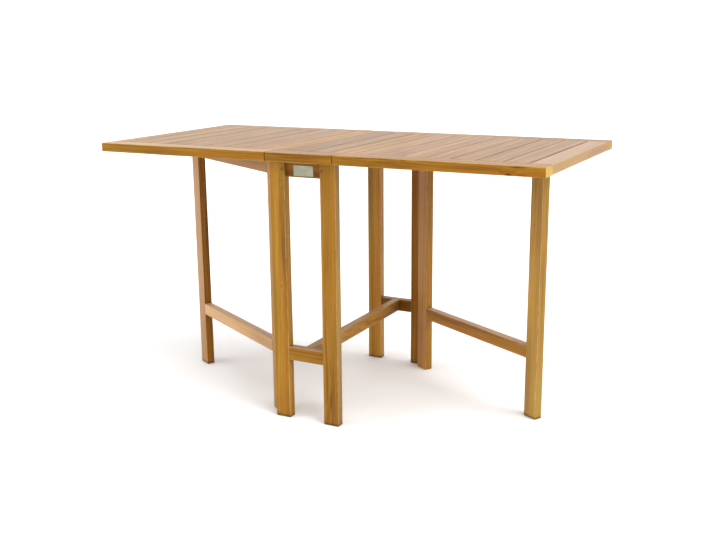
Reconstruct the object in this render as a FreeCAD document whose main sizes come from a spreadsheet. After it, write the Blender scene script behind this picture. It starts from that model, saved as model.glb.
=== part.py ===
import FreeCAD, Part
import Sketcher
import math
import os
import re

# Folding garden table of teak: a fixed slatted centre on two joined pairs of legs, a slatted leaf
# hinged to each side of it, and under each leaf a gate frame that swings out to carry it.
# It stands open, as in use: X runs along the top, Y across it, Z up from the floor.
# The origin is on the floor under the middle of the top. Sizes are in millimetres and degrees.

SIZES = {
    # whole table
    "table_height": 750,
    "table_depth": 640,
    "centre_width": 201,
    "leaf_length": 560,
    "joint_gap": 3,
    # slatted top
    "top_thickness": 25,
    "frame_rail_width": 55,
    "joint_rail_width": 32,
    "slat_thickness": 14,
    "slat_gap": 4,
    "leaf_slat_count": 7,
    "centre_slat_count": 2,
    "frame_edge_radius": 2,
    "slat_edge_chamfer": 1,
    "rail_edge_chamfer": 1.5,
    "batten_width": 60,
    "batten_clearance": 0.1,
    # tongues of slats and rails, and the grooves that take them
    "tongue_thickness": 8,
    "tongue_length": 10,
    "tongue_drop": 3,
    "tongue_stop_outer": 20,
    "tongue_stop_joint": 12,
    "joinery_clearance": 0.1,
    # legs and rails under the centre
    "trestle_width": 200,
    "trestle_inset": 20,
    "leg_width": 46,
    "leg_depth": 25,
    "leg_edge_radius": 2,
    "foot_chamfer": 1.5,
    "leg_stub_width": 26,
    "leg_stub_depth": 11,
    "leg_stub_height": 12,
    "trestle_top_rail_height": 42,
    "trestle_top_rail_thickness": 15,
    "trestle_low_rail_base": 172,
    "trestle_low_rail_height": 38,
    "stretcher_width": 25,
    "stretcher_height": 36,
    # tenons of legs and rails
    "tenon_length": 24,
    "tenon_thickness": 10,
    "tenon_shoulder": 5,
    "top_tenon_thickness": 7,
    "stretcher_tenon_length": 15,
    # plain metal plate on the near top rail
    "badge_length": 60,
    "badge_height": 28,
    "badge_thickness": 1.2,
    "badge_corner_radius": 3,
    "badge_below_top": 24,
    # gates
    "gate_open_angle": 61,
    "gate_member_width": 45,
    "gate_thickness": 25,
    "gate_drop": 6,
    "gate_latch_gap": 3,
    "gate_top_rail_height": 36,
    "gate_low_rail_base": 170,
    "gate_low_rail_height": 36,
    # bearer and stop block under each leaf
    "block_running_gap": 0.3,
    "block_width": 15,
    "block_reach_down": 12,
    "block_chamfer": 2,
    # leaf hinges
    "leaf_hinge_width": 60,
    "leaf_hinge_reach": 26,
    "leaf_hinge_inset": 20,
    "leaf_knuckle_radius": 3,
    "leaf_pin_radius": 1.5,
    # gate hinges
    "gate_hinge_width": 60,
    "gate_hinge_reach": 21,
    "gate_hinge_gap": 1,
    "gate_hinge_below_top": 85,
    "gate_hinge_base": 265,
    "gate_pin_radius": 1.3,
    # both kinds of hinge
    "plate_thickness": 2,
    "knuckle_clearance": 0.3,
    "knuckle_room": 0.4,
    "pin_clearance": 0.05,
    "recess_side_clearance": 0.2,
    # how far every cut runs past the wood
    "cut_overrun": 1,
}

# Places worked out from the sizes, as formulas for the sheet.
UNDERSIDE = "(table_height - top_thickness)"
HALF_DEPTH = "(table_depth / 2)"
RAIL_SPAN = "(table_depth - 2 * frame_rail_width)"
LEAF_START = "(centre_width / 2 + joint_gap)"
LEAF_JOINT = "(centre_width / 2 + joint_gap / 2)"
LEAF_SLAT_ROOM = "(leaf_length - frame_rail_width - joint_rail_width)"
CENTRE_SLAT_ROOM = "(centre_width - 2 * joint_rail_width)"
TONGUE_BASE = "(table_height - tongue_drop - tongue_thickness)"
LEG_FRONT = "(table_depth / 2 - trestle_inset)"
LEG_BACK = "(table_depth / 2 - trestle_inset - leg_depth)"
BETWEEN_LEGS = "(trestle_width - 2 * leg_width)"
LOW_RAIL_TOP = "(trestle_low_rail_base + trestle_low_rail_height)"
GATE_HEIGHT = "(table_height - top_thickness - gate_drop)"
GATE_LENGTH = "(table_depth - 2 * trestle_inset - 2 * leg_depth - gate_hinge_gap - gate_latch_gap)"
GATE_RAIL_SPAN = f"({GATE_LENGTH} - 2 * gate_member_width)"
GATE_KNUCKLE_RADIUS = "(plate_thickness + gate_hinge_gap / 2)"
LEAF_AXIS_HEIGHT = f"({UNDERSIDE} + plate_thickness - leaf_knuckle_radius)"
LEAF_HINGE_PLACE = f"({RAIL_SPAN} / 2 - leaf_hinge_inset - leaf_hinge_width / 2)"
# Middle heights of a gate's two hinges
GATE_HINGE_HEIGHTS = ("gate_hinge_base", f"({UNDERSIDE} - gate_hinge_below_top)")

ALONG_Y = FreeCAD.Rotation(FreeCAD.Vector(1, 0, 0), -90)
ALONG_Z = FreeCAD.Rotation()

document = FreeCAD.newDocument("folding_garden_table")
sheet = document.addObject("Spreadsheet::Sheet", "Sizes")
for row, (alias, value) in enumerate(SIZES.items(), start=1):
    sheet.set(f"A{row}", alias)
    sheet.set(f"B{row}", str(value))
    sheet.setAlias(f"B{row}", alias)
document.recompute()

alias_words = re.compile(r"\b(" + "|".join(SIZES) + r")\b")
pieces = []


def linked(formula):
    """Point the size names in a formula at the sheet."""
    return alias_words.sub(lambda word: "Sizes." + word.group(0), formula)


def bind(item, **formulas):
    """Tie properties of an object to formulas of the sheet's sizes."""
    for name, formula in formulas.items():
        item.setExpression(name, linked(formula))


def put(item, x="0", y="0", z="0", turn="0"):
    """Tie an object's place and its turn about Z to formulas."""
    item.setExpression(".Placement.Base.x", linked(x))
    item.setExpression(".Placement.Base.y", linked(y))
    item.setExpression(".Placement.Base.z", linked(z))
    if turn != "0":
        item.setExpression(".Placement.Rotation.Angle", linked(turn))


def new_piece(label, **place):
    """Start a sub-part of its own, which becomes one node."""
    body = document.addObject("PartDesign::Body", label)
    body.Label = label
    body.AllowCompound = True
    put(body, **place)
    pieces.append(body)
    return body


def feature(body, kind, place, direction=ALONG_Z, **formulas):
    """Add a solid primitive to a body, or take one away from it."""
    item = body.newObject("PartDesign::" + kind, kind)
    item.Placement = FreeCAD.Placement(FreeCAD.Vector(), direction)
    bind(item, **formulas)
    put(item, *place)
    return item


def block(body, size, place, kind="AdditiveBox"):
    """A box from its lowest corner."""
    length, width, height = size
    return feature(body, kind, place, Length=length, Width=width, Height=height)


def pocket(body, size, place):
    """A box taken away from a body."""
    return block(body, size, place, "SubtractiveBox")


def rod(body, radius, length, place, direction):
    """A cylinder from the middle of its first end."""
    return feature(body, "AdditiveCylinder", place, direction, Radius=radius, Height=length)


def runs_along(edge, axis):
    """Whether an edge is straight and parallel to an axis."""
    if edge.Curve.TypeId != "Part::GeomLine":
        return False
    return abs(abs(edge.tangentAt(edge.FirstParameter).dot(axis)) - 1) < 1e-6


def ease(body, kind, size, chosen):
    """Round or chamfer the edges of a body that a test chooses."""
    document.recompute()
    base = body.Tip
    names = [f"Edge{number}" for number, edge in enumerate(base.Shape.Edges, start=1) if chosen(edge)]
    dressed = body.newObject("PartDesign::" + kind, kind)
    dressed.Base = (base, names)
    bind(dressed, **({"Radius": size} if kind == "Fillet" else {"Size": size}))
    return dressed


def ease_along(body, kind, axis, size):
    """Round or chamfer every edge of a body that runs along an axis."""
    return ease(body, kind, size, lambda edge: runs_along(edge, axis))


def ease_foot(body):
    """Chamfer the edges that stand on the floor."""
    return ease(body, "Chamfer", "foot_chamfer", lambda edge: edge.BoundBox.ZMax < 1e-6)


X_AXIS = FreeCAD.Vector(1, 0, 0)
Y_AXIS = FreeCAD.Vector(0, 1, 0)
Z_AXIS = FreeCAD.Vector(0, 0, 1)


def origin_part(body, role):
    """The plane or axis of a body's own origin that has this role."""
    return next(item for item in body.Origin.OriginFeatures if item.Role == role)


def repeat_along(body, originals, role, count, spacing):
    """Repeat features in a row along one axis of the body."""
    document.recompute()
    row_of = body.newObject("PartDesign::LinearPattern", "Row")
    row_of.Originals = originals
    row_of.Direction = (origin_part(body, role), [""])
    row_of.Mode = "Spacing"
    bind(row_of, Occurrences=count, Offset=spacing)
    body.Tip = row_of
    return row_of


# Top frame and slats

def long_rail(label, length, start, stops, turn):
    """A near rail of the centre or of a leaf, with the groove that takes the tongues."""
    stop_low, stop_high = stops
    body = new_piece(label, turn=turn)
    block(body, (length, "frame_rail_width", "top_thickness"), (start, f"-{HALF_DEPTH}", UNDERSIDE))
    ease_along(body, "Fillet", X_AXIS, "frame_edge_radius")
    pocket(
        body,
        (
            f"{length} - {stop_low} - {stop_high} + 2 * joinery_clearance",
            "tongue_length + joinery_clearance + cut_overrun",
            "tongue_thickness + 2 * joinery_clearance",
        ),
        (
            f"{start} + {stop_low} - joinery_clearance",
            f"-{RAIL_SPAN} / 2 - tongue_length - joinery_clearance",
            f"{TONGUE_BASE} - joinery_clearance",
        ),
    )
    return body


def cross_rail(label, width, start, tongue_start, tongue_width, turn, easing):
    """A rail between the two long rails, with a tongue at each end."""
    body = new_piece(label, turn=turn)
    block(
        body,
        (width, f"{RAIL_SPAN} - 2 * joinery_clearance", "top_thickness"),
        (start, f"-{RAIL_SPAN} / 2 + joinery_clearance", UNDERSIDE),
    )
    ease_along(body, easing, Y_AXIS, "frame_edge_radius" if easing == "Fillet" else "slat_edge_chamfer")
    block(
        body,
        (tongue_width, f"{RAIL_SPAN} + 2 * tongue_length", "tongue_thickness"),
        (tongue_start, f"-{RAIL_SPAN} / 2 - tongue_length", TONGUE_BASE),
    )
    return body


def slat_row(label, count, room, start, turn):
    """Slats side by side with even gaps, each with a tongue at both ends."""
    slat_width = f"(({room} - ({count} + 1) * slat_gap) / {count})"
    body = new_piece(label, turn=turn)
    slat = block(
        body,
        (slat_width, f"{RAIL_SPAN} - 2 * joinery_clearance", "slat_thickness"),
        (f"{start} + slat_gap", f"-{RAIL_SPAN} / 2 + joinery_clearance", "table_height - slat_thickness"),
    )
    eased = ease(
        body,
        "Chamfer",
        "slat_edge_chamfer",
        lambda edge: runs_along(edge, Y_AXIS) and edge.CenterOfMass.z > slat.Shape.CenterOfMass.z,
    )
    tongue = block(
        body,
        (slat_width, f"{RAIL_SPAN} + 2 * tongue_length", "tongue_thickness"),
        (f"{start} + slat_gap", f"-{RAIL_SPAN} / 2 - tongue_length", TONGUE_BASE),
    )
    repeat_along(body, [slat, eased, tongue], "X_Axis", count, f"{slat_width} + slat_gap")
    return body


def leaf_recesses(body, edge, inward):
    """Recesses for the two leaf hinges in the underside of a rail beside the joint."""
    steps = (
        ("(leaf_hinge_reach + recess_side_clearance)", "plate_thickness"),
        ("(leaf_knuckle_radius - joint_gap / 2 + knuckle_room)", "(plate_thickness + knuckle_room)"),
    )
    for side in ("-", ""):
        for reach, depth in steps:
            pocket(
                body,
                (
                    f"{reach} + cut_overrun",
                    "leaf_hinge_width + 2 * recess_side_clearance",
                    f"{depth} + cut_overrun",
                ),
                (
                    f"{edge} - cut_overrun" if inward == "+" else f"{edge} - {reach}",
                    f"{side}{LEAF_HINGE_PLACE} - leaf_hinge_width / 2 - recess_side_clearance",
                    f"{UNDERSIDE} - cut_overrun",
                ),
            )


def plate_section(body, plane, flip, lift, radius, hole, reach):
    """The section of a hinge plate: a flat run into a round barrel, with or without a hole for the pin."""
    barrel = 3
    thickness = 2
    run = 20
    angle = math.asin((barrel - thickness) / barrel)
    point = FreeCAD.Vector
    section = body.newObject("Sketcher::SketchObject", "PlateSection")
    section.AttachmentSupport = (origin_part(body, plane), [""])
    section.MapMode = "FlatFace"
    section.AttachmentOffset = FreeCAD.Placement(FreeCAD.Vector(), flip)
    section.setExpression(".AttachmentOffset.Base.z", linked(lift))
    section.addGeometry(
        [
            Part.LineSegment(point(0, barrel, 0), point(run, barrel, 0)),
            Part.LineSegment(point(run, barrel, 0), point(run, barrel - thickness, 0)),
            Part.LineSegment(
                point(run, barrel - thickness, 0), point(barrel * math.cos(angle), barrel - thickness, 0)
            ),
            Part.ArcOfCircle(Part.Circle(point(), Z_AXIS, barrel), math.pi / 2, 2 * math.pi + angle),
        ]
    )
    outer_face, end_face, inner_face, roll = range(4)
    section.addConstraint(
        [
            Sketcher.Constraint("Tangent", outer_face, 1, roll, 1),
            Sketcher.Constraint("Coincident", outer_face, 2, end_face, 1),
            Sketcher.Constraint("Coincident", end_face, 2, inner_face, 1),
            Sketcher.Constraint("Coincident", inner_face, 2, roll, 2),
            Sketcher.Constraint("Coincident", roll, 3, -1, 1),
            Sketcher.Constraint("Horizontal", outer_face),
            Sketcher.Constraint("Vertical", end_face),
            Sketcher.Constraint("Horizontal", inner_face),
        ]
    )
    sized = [
        ("barrel", radius, Sketcher.Constraint("Radius", roll, barrel)),
        (
            "thickness",
            "plate_thickness",
            Sketcher.Constraint("DistanceY", end_face, 2, end_face, 1, thickness),
        ),
        ("reach", reach, Sketcher.Constraint("DistanceX", -1, 1, outer_face, 2, run)),
    ]
    if hole:
        pin_hole = section.addGeometry(Part.Circle(point(), Z_AXIS, 1))
        section.addConstraint(Sketcher.Constraint("Coincident", pin_hole, 3, -1, 1))
        sized.append(("pin_hole", hole, Sketcher.Constraint("Radius", pin_hole, 1)))
    for name, formula, constraint in sized:
        number = section.addConstraint(constraint)
        section.renameConstraint(number, name)
        section.setExpression(f"Constraints.{name}", linked(formula))
    return section


def hinge_half(body, plane, flip, lift, low_end, width, radius, pin, reach, moving):
    """A hinge plate with its knuckles. The moving one has the middle knuckle of three, which turns on a
    pin that is fixed in the other's two."""
    section = plate_section(
        body, plane, flip, lift, radius, f"{pin} + pin_clearance" if moving else None, reach
    )
    plate = body.newObject("PartDesign::Pad", "Plate")
    plate.Profile = section
    bind(plate, Length=width)
    room = f"(2 * ({radius} + knuckle_room))"
    knuckle = f"({width} / 3)"
    along_y = plane == "XZ_Plane"
    if moving:
        gap = f"{knuckle} + knuckle_clearance / 2 + cut_overrun"
        starts = (f"{low_end} - cut_overrun", f"{low_end} + 2 * {knuckle} - knuckle_clearance / 2")
    else:
        gap = f"{knuckle} + knuckle_clearance"
        starts = (f"{low_end} + {knuckle} - knuckle_clearance / 2",)
    for start in starts:
        if along_y:
            pocket(body, (room, gap, room), (f"-{room} / 2", start, f"-{room} / 2"))
        else:
            pocket(body, (room, room, gap), (f"-{room} / 2", f"-{room} / 2", start))
    if not moving:
        pin_length = f"{knuckle} + knuckle_clearance + 2 * cut_overrun"
        pin_start = f"{low_end} + {knuckle} - knuckle_clearance / 2 - cut_overrun"
        if along_y:
            rod(body, pin, pin_length, ("0", pin_start, "0"), ALONG_Y)
        else:
            rod(body, pin, pin_length, ("0", "0", pin_start), ALONG_Z)


def leaf_hinge_halves(label, turn, towards_leaf):
    """One plate of each of a leaf's two hinges."""
    sign = "" if turn == "0" else "-"
    body = new_piece(label, x=f"{sign}{LEAF_JOINT}", z=LEAF_AXIS_HEIGHT)
    # The leaf's plate runs away from the middle of the table, and the centre's plate towards it.
    to_plus_x = towards_leaf == (turn == "0")
    for side in ("-", ""):
        low_end = f"{side}{LEAF_HINGE_PLACE} - leaf_hinge_width / 2"
        high_end = f"{side}{LEAF_HINGE_PLACE} + leaf_hinge_width / 2"
        # A section drawn on this plane is padded towards -Y, and one that is turned over towards +Y.
        hinge_half(
            body,
            "XZ_Plane",
            FreeCAD.Rotation() if to_plus_x else FreeCAD.Rotation(Y_AXIS, 180),
            f"-({high_end if to_plus_x else low_end})",
            low_end,
            "leaf_hinge_width",
            "leaf_knuckle_radius",
            "leaf_pin_radius",
            "leaf_hinge_reach + joint_gap / 2",
            towards_leaf,
        )
    return body


HALF_TURN = {"near": "0", "far": "180", "right": "0", "left": "180"}
CENTRE_EDGE = "(centre_width / 2)"

for end in ("near", "far"):
    long_rail(
        f"centre_{end}_rail",
        "centre_width",
        f"-{CENTRE_EDGE}",
        ("tongue_stop_joint", "tongue_stop_joint"),
        HALF_TURN[end],
    )
for side in ("left", "right"):
    rail = cross_rail(
        f"centre_{side}_rail",
        "joint_rail_width",
        f"{CENTRE_EDGE} - joint_rail_width",
        f"{CENTRE_EDGE} - joint_rail_width",
        "joint_rail_width - tongue_stop_joint",
        HALF_TURN[side],
        "Chamfer",
    )
    leaf_recesses(rail, CENTRE_EDGE, "-")
slat_row("centre_slats", "centre_slat_count", CENTRE_SLAT_ROOM, f"-{CENTRE_SLAT_ROOM} / 2", "0")

for side in ("left", "right"):
    turn = HALF_TURN[side]
    # Seen along the leaf from the joint, the near rail of the right leaf is the far rail of the left one.
    near_name = "near" if side == "right" else "far"
    far_name = "far" if side == "right" else "near"
    long_rail(
        f"{side}_leaf_{near_name}_rail",
        "leaf_length",
        LEAF_START,
        ("tongue_stop_joint", "tongue_stop_outer"),
        turn,
    )
    long_rail(
        f"{side}_leaf_{far_name}_rail",
        "leaf_length",
        f"-({LEAF_START} + leaf_length)",
        ("tongue_stop_outer", "tongue_stop_joint"),
        HALF_TURN["far"] if side == "right" else HALF_TURN["near"],
    )
    joint_rail = cross_rail(
        f"{side}_leaf_joint_rail",
        "joint_rail_width",
        LEAF_START,
        f"{LEAF_START} + tongue_stop_joint",
        "joint_rail_width - tongue_stop_joint",
        turn,
        "Chamfer",
    )
    leaf_recesses(joint_rail, LEAF_START, "+")
    cross_rail(
        f"{side}_leaf_end_rail",
        "frame_rail_width",
        f"{LEAF_START} + leaf_length - frame_rail_width",
        f"{LEAF_START} + leaf_length - frame_rail_width",
        "frame_rail_width - tongue_stop_outer",
        turn,
        "Fillet",
    )
    slat_row(
        f"{side}_leaf_slats",
        "leaf_slat_count",
        LEAF_SLAT_ROOM,
        f"{LEAF_START} + joint_rail_width",
        turn,
    )
    batten = new_piece(f"{side}_leaf_batten", turn=turn)
    block(
        batten,
        (
            f"{LEAF_SLAT_ROOM} - 2 * batten_clearance",
            "batten_width",
            "top_thickness - slat_thickness - batten_clearance",
        ),
        (f"{LEAF_START} + joint_rail_width + batten_clearance", "-batten_width / 2", UNDERSIDE),
    )
    ease_along(batten, "Chamfer", X_AXIS, "slat_edge_chamfer")
    leaf_hinge_halves(f"{side}_hinge_centre_plates", turn, False)
    leaf_hinge_halves(f"{side}_hinge_leaf_plates", turn, True)


# Legs and rails under the centre

# How far a gate hinge's recess reaches in from the edge, and how deep it is, first for the plate
# and then for the barrel.
GATE_RECESS_STEPS = (
    ("(gate_hinge_reach + recess_side_clearance)", "plate_thickness"),
    (f"({GATE_KNUCKLE_RADIUS} + knuckle_room)", "(plate_thickness + knuckle_room)"),
)


def trestle_leg(label, direction, hinged, turn):
    """A leg of the near pair, with its stub, mortises and any hinge recesses."""
    body = new_piece(label, turn=turn)
    outward = "-" if direction < 0 else ""
    low_x = "-trestle_width / 2" if direction < 0 else "trestle_width / 2 - leg_width"
    block(body, ("leg_width", "leg_depth", UNDERSIDE), (low_x, f"-{LEG_FRONT}", "0"))
    ease_along(body, "Fillet", Z_AXIS, "leg_edge_radius")
    ease_foot(body)
    block(
        body,
        ("leg_stub_width", "leg_stub_depth", f"{UNDERSIDE} / 2 + leg_stub_height"),
        (
            f"{low_x} + (leg_width - leg_stub_width) / 2",
            f"-{LEG_FRONT} + (leg_depth - leg_stub_depth) / 2",
            f"{UNDERSIDE} / 2",
        ),
    )
    inner_face = f"{outward}{BETWEEN_LEGS} / 2"
    mortise_x = f"{inner_face} - " + ("tenon_length - joinery_clearance" if direction < 0 else "cut_overrun")
    mortise_length = "tenon_length + joinery_clearance + cut_overrun"
    pocket(
        body,
        (
            mortise_length,
            "top_tenon_thickness + 2 * joinery_clearance",
            "trestle_top_rail_height - 2 * tenon_shoulder + 2 * joinery_clearance",
        ),
        (
            mortise_x,
            f"-{LEG_BACK} - (trestle_top_rail_thickness + top_tenon_thickness) / 2 - joinery_clearance",
            f"{UNDERSIDE} - trestle_top_rail_height + tenon_shoulder - joinery_clearance",
        ),
    )
    pocket(
        body,
        (
            mortise_length,
            "tenon_thickness + 2 * joinery_clearance",
            "trestle_low_rail_height - 2 * tenon_shoulder + 2 * joinery_clearance",
        ),
        (
            mortise_x,
            f"-{LEG_BACK} - (leg_depth + tenon_thickness) / 2 - joinery_clearance",
            "trestle_low_rail_base + tenon_shoulder - joinery_clearance",
        ),
    )
    if hinged:
        for height in GATE_HINGE_HEIGHTS:
            for reach, depth in GATE_RECESS_STEPS:
                pocket(
                    body,
                    (
                        f"{reach} + cut_overrun",
                        f"{depth} + cut_overrun",
                        "gate_hinge_width + 2 * recess_side_clearance",
                    ),
                    (
                        "-trestle_width / 2 - cut_overrun",
                        f"-{LEG_BACK} - {depth}",
                        f"{height} - gate_hinge_width / 2 - recess_side_clearance",
                    ),
                )
    return body


def trestle_top_rail(label, turn):
    """The thin rail between the tops of a pair of legs."""
    body = new_piece(label, turn=turn)
    block(
        body,
        (
            f"{BETWEEN_LEGS} - 2 * joinery_clearance",
            "trestle_top_rail_thickness",
            "trestle_top_rail_height",
        ),
        (
            f"-{BETWEEN_LEGS} / 2 + joinery_clearance",
            f"-{LEG_BACK} - trestle_top_rail_thickness",
            f"{UNDERSIDE} - trestle_top_rail_height",
        ),
    )
    ease_along(body, "Chamfer", X_AXIS, "slat_edge_chamfer")
    block(
        body,
        (
            f"{BETWEEN_LEGS} + 2 * tenon_length",
            "top_tenon_thickness",
            "trestle_top_rail_height - 2 * tenon_shoulder",
        ),
        (
            f"-{BETWEEN_LEGS} / 2 - tenon_length",
            f"-{LEG_BACK} - (trestle_top_rail_thickness + top_tenon_thickness) / 2",
            f"{UNDERSIDE} - trestle_top_rail_height + tenon_shoulder",
        ),
    )
    return body


def trestle_low_rail(label, turn):
    """The low rail of a pair of legs, with a mortise for the stretcher."""
    body = new_piece(label, turn=turn)
    block(
        body,
        (f"{BETWEEN_LEGS} - 2 * joinery_clearance", "leg_depth", "trestle_low_rail_height"),
        (f"-{BETWEEN_LEGS} / 2 + joinery_clearance", f"-{LEG_FRONT}", "trestle_low_rail_base"),
    )
    ease_along(body, "Chamfer", X_AXIS, "rail_edge_chamfer")
    block(
        body,
        (
            f"{BETWEEN_LEGS} + 2 * tenon_length",
            "tenon_thickness",
            "trestle_low_rail_height - 2 * tenon_shoulder",
        ),
        (
            f"-{BETWEEN_LEGS} / 2 - tenon_length",
            f"-{LEG_BACK} - (leg_depth + tenon_thickness) / 2",
            "trestle_low_rail_base + tenon_shoulder",
        ),
    )
    pocket(
        body,
        (
            "tenon_thickness + 2 * joinery_clearance",
            "stretcher_tenon_length + joinery_clearance + cut_overrun",
            "stretcher_height - 2 * tenon_shoulder + 2 * joinery_clearance",
        ),
        (
            "-tenon_thickness / 2 - joinery_clearance",
            f"-{LEG_BACK} - stretcher_tenon_length - joinery_clearance",
            f"{LOW_RAIL_TOP} - stretcher_height + tenon_shoulder - joinery_clearance",
        ),
    )
    return body


for end in ("near", "far"):
    turn = HALF_TURN[end]
    # The far pair of legs is the near pair turned by half a turn.
    names = {-1: "left", 1: "right"} if end == "near" else {-1: "right", 1: "left"}
    trestle_leg(f"{end}_{names[-1]}_leg", -1, True, turn)
    trestle_leg(f"{end}_{names[1]}_leg", 1, False, turn)
    trestle_top_rail(f"{end}_top_rail", turn)
    trestle_low_rail(f"{end}_low_rail", turn)
    # Stubs on the legs stand in two mortises of the centre's long rail.
    rail = next(body for body in pieces if body.Label == f"centre_{end}_rail")
    for outward in ("-", ""):
        pocket(
            rail,
            (
                "leg_stub_width + 2 * joinery_clearance",
                "leg_stub_depth + 2 * joinery_clearance",
                "leg_stub_height + joinery_clearance + cut_overrun",
            ),
            (
                f"{outward}(trestle_width - leg_width) / 2 - leg_stub_width / 2 - joinery_clearance",
                f"-{LEG_FRONT} + (leg_depth - leg_stub_depth) / 2 - joinery_clearance",
                f"{UNDERSIDE} - cut_overrun",
            ),
        )

stretcher = new_piece("stretcher")
block(
    stretcher,
    ("stretcher_width", f"2 * {LEG_BACK} - 2 * joinery_clearance", "stretcher_height"),
    ("-stretcher_width / 2", f"-{LEG_BACK} + joinery_clearance", f"{LOW_RAIL_TOP} - stretcher_height"),
)
ease_along(stretcher, "Chamfer", Y_AXIS, "rail_edge_chamfer")
block(
    stretcher,
    (
        "tenon_thickness",
        f"2 * {LEG_BACK} + 2 * stretcher_tenon_length",
        "stretcher_height - 2 * tenon_shoulder",
    ),
    (
        "-tenon_thickness / 2",
        f"-{LEG_BACK} - stretcher_tenon_length",
        f"{LOW_RAIL_TOP} - stretcher_height + tenon_shoulder",
    ),
)

# Plain metal plate, cut from a rectangle with round corners
badge = new_piece("badge_plate")
block(
    badge,
    ("badge_length", "badge_thickness", "badge_height"),
    (
        "-badge_length / 2",
        f"-{LEG_BACK} - trestle_top_rail_thickness - badge_thickness",
        f"{UNDERSIDE} - badge_below_top - badge_height / 2",
    ),
)
ease_along(badge, "Fillet", Y_AXIS, "badge_corner_radius")


# Gates, each modelled closed in its own frame: the hinge axis is its Z axis, the gate runs
# along +Y, and its thickness is towards +X, which is towards the middle of the table.

GATE_PLACES = {
    "left": {
        "x": "-trestle_width / 2",
        "y": f"-{LEG_BACK} + gate_hinge_gap / 2",
        "turn": "gate_open_angle",
    },
    "right": {
        "x": "trestle_width / 2",
        "y": f"{LEG_BACK} - gate_hinge_gap / 2",
        "turn": "gate_open_angle + 180",
    },
}
GATE_START = "(gate_hinge_gap / 2)"
STILE_END = f"({GATE_START} + gate_member_width)"
OUTER_START = f"({GATE_START} + {GATE_LENGTH} - gate_member_width)"


def gate_rails():
    """Base and height of a gate's two rails."""
    return (
        ("gate_low_rail_base", "gate_low_rail_height"),
        (f"({GATE_HEIGHT} - gate_top_rail_height)", "gate_top_rail_height"),
    )


def gate_upright(label, start, mortise_start, hinged, place):
    """The stile or the outer leg of a gate."""
    body = new_piece(label, **place)
    block(body, ("gate_thickness", "gate_member_width", GATE_HEIGHT), ("0", start, "0"))
    ease_along(body, "Fillet", Z_AXIS, "leg_edge_radius")
    ease_foot(body)
    for base, height in gate_rails():
        pocket(
            body,
            (
                "tenon_thickness + 2 * joinery_clearance",
                "tenon_length + joinery_clearance + cut_overrun",
                f"{height} - 2 * tenon_shoulder + 2 * joinery_clearance",
            ),
            (
                "(gate_thickness - tenon_thickness) / 2 - joinery_clearance",
                mortise_start,
                f"{base} + tenon_shoulder - joinery_clearance",
            ),
        )
    if hinged:
        for height in GATE_HINGE_HEIGHTS:
            for reach, depth in GATE_RECESS_STEPS:
                pocket(
                    body,
                    (
                        f"{reach} + cut_overrun",
                        f"{depth} + cut_overrun",
                        "gate_hinge_width + 2 * recess_side_clearance",
                    ),
                    (
                        "-cut_overrun",
                        f"{GATE_START} - cut_overrun",
                        f"{height} - gate_hinge_width / 2 - recess_side_clearance",
                    ),
                )
    return body


def gate_rail(label, base, height, place):
    """A rail of a gate, flush with its uprights on both faces."""
    body = new_piece(label, **place)
    block(
        body,
        ("gate_thickness", f"{GATE_RAIL_SPAN} - 2 * joinery_clearance", height),
        ("0", f"{STILE_END} + joinery_clearance", base),
    )
    ease_along(body, "Chamfer", Y_AXIS, "rail_edge_chamfer")
    block(
        body,
        (
            "tenon_thickness",
            f"{GATE_RAIL_SPAN} + 2 * tenon_length",
            f"{height} - 2 * tenon_shoulder",
        ),
        (
            "(gate_thickness - tenon_thickness) / 2",
            f"{STILE_END} - tenon_length",
            f"{base} + tenon_shoulder",
        ),
    )
    return body


def gate_hinge_halves(label, place, on_stile):
    """One plate of each of a gate's two hinges."""
    body = new_piece(label, **place)
    for height in GATE_HINGE_HEIGHTS:
        low_end = f"{height} - gate_hinge_width / 2"
        high_end = f"{height} + gate_hinge_width / 2"
        # On the stile the section faces +Y. On the leg it is turned over, and padded downwards.
        hinge_half(
            body,
            "XY_Plane",
            FreeCAD.Rotation() if on_stile else FreeCAD.Rotation(X_AXIS, 180),
            low_end if on_stile else high_end,
            low_end,
            "gate_hinge_width",
            GATE_KNUCKLE_RADIUS,
            "gate_pin_radius",
            "gate_hinge_reach",
            on_stile,
        )
    return body


for side, place in GATE_PLACES.items():
    # The plates in the legs stand where the closed gate's frame is.
    still_place = dict(place, turn="0" if side == "left" else "180")
    gate_upright(
        f"{side}_gate_stile",
        GATE_START,
        f"{STILE_END} - tenon_length - joinery_clearance",
        True,
        place,
    )
    gate_upright(
        f"{side}_gate_outer_leg",
        OUTER_START,
        f"{OUTER_START} - cut_overrun",
        False,
        place,
    )
    low, high = gate_rails()
    gate_rail(f"{side}_gate_low_rail", *low, place)
    gate_rail(f"{side}_gate_top_rail", *high, place)
    gate_hinge_halves(f"{side}_gate_hinge_leg_plates", still_place, False)
    gate_hinge_halves(f"{side}_gate_hinge_stile_plates", place, True)
    # Under the leaf, the outer leg of the open gate stands beneath a bearer and against a stop block.
    bearer = new_piece(f"{side}_leaf_bearer", **place)
    block(
        bearer,
        ("gate_thickness + block_running_gap", "gate_member_width", "gate_drop - block_running_gap"),
        ("-block_running_gap", OUTER_START, f"{GATE_HEIGHT} + block_running_gap"),
    )
    stop_block = new_piece(f"{side}_leaf_stop_block", **place)
    block(
        stop_block,
        ("block_width - block_running_gap", "gate_member_width", "gate_drop + block_reach_down"),
        ("-block_width", OUTER_START, f"{GATE_HEIGHT} - block_reach_down"),
    )
    ease(
        stop_block,
        "Chamfer",
        "block_chamfer",
        lambda edge: edge.BoundBox.ZMax < stop_block.Tip.Shape.BoundBox.ZMin + 1e-6,
    )

document.recompute()

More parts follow.
